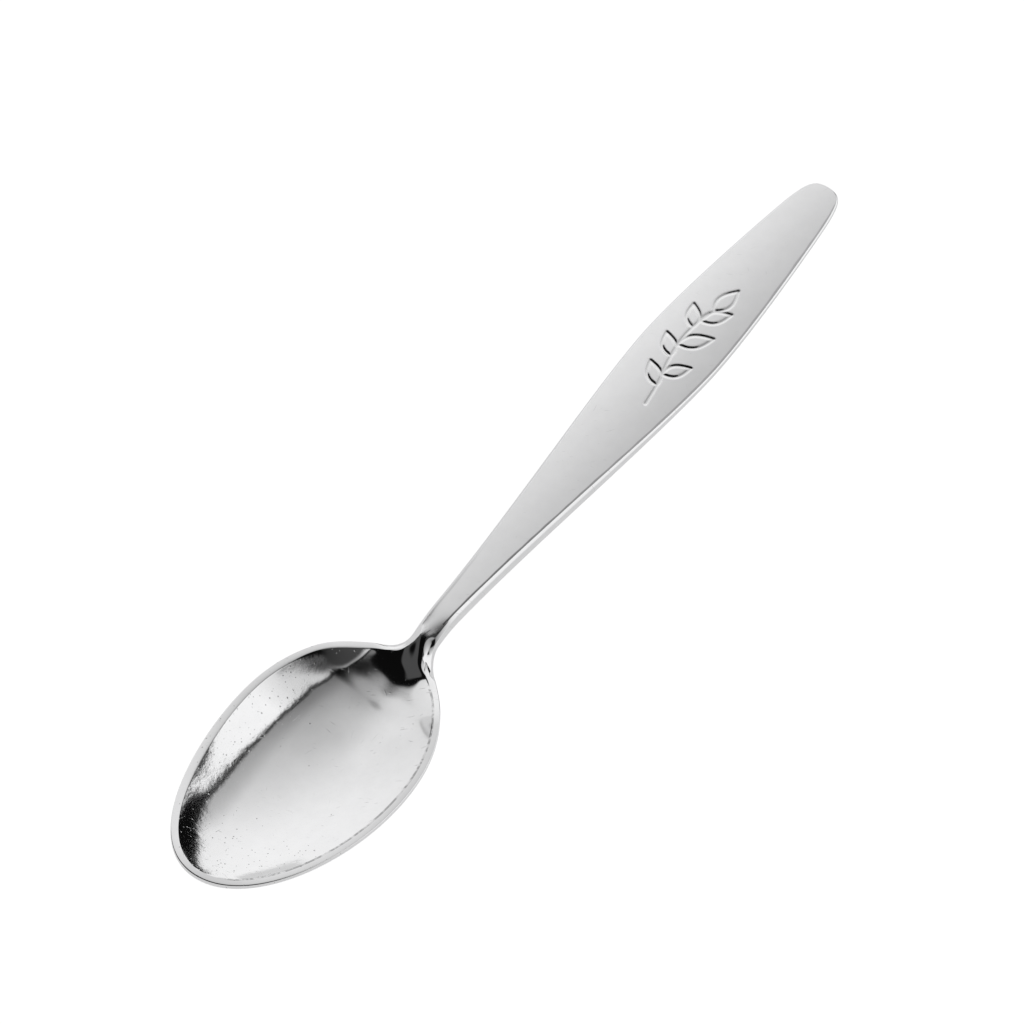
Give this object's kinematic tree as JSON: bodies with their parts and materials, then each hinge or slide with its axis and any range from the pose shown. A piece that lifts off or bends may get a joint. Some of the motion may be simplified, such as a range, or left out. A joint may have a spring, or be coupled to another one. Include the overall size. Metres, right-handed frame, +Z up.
{
  "type": "child spoon",
  "caption": "Small one-piece steel table spoon with an oval bowl, a narrow thick neck and a flat handle that widens and then tapers to a rounded end.",
  "frame": {"origin": "on the table, under the middle of the spoon's box, as the spoon rests on its bowl and its handle's end", "axes": "+X from the bowl to the handle's end, +Y across the spoon, +Z up from the table"},
  "size_m": [0.1498, 0.0286, 0.0111],
  "materials": {
    "steel": "worn mirror polish in the bowl and on the edges, satin on the handle's top"
  },
  "bodies": {
    "root": {"spoon": "steel"}
  },
  "joints": []
}
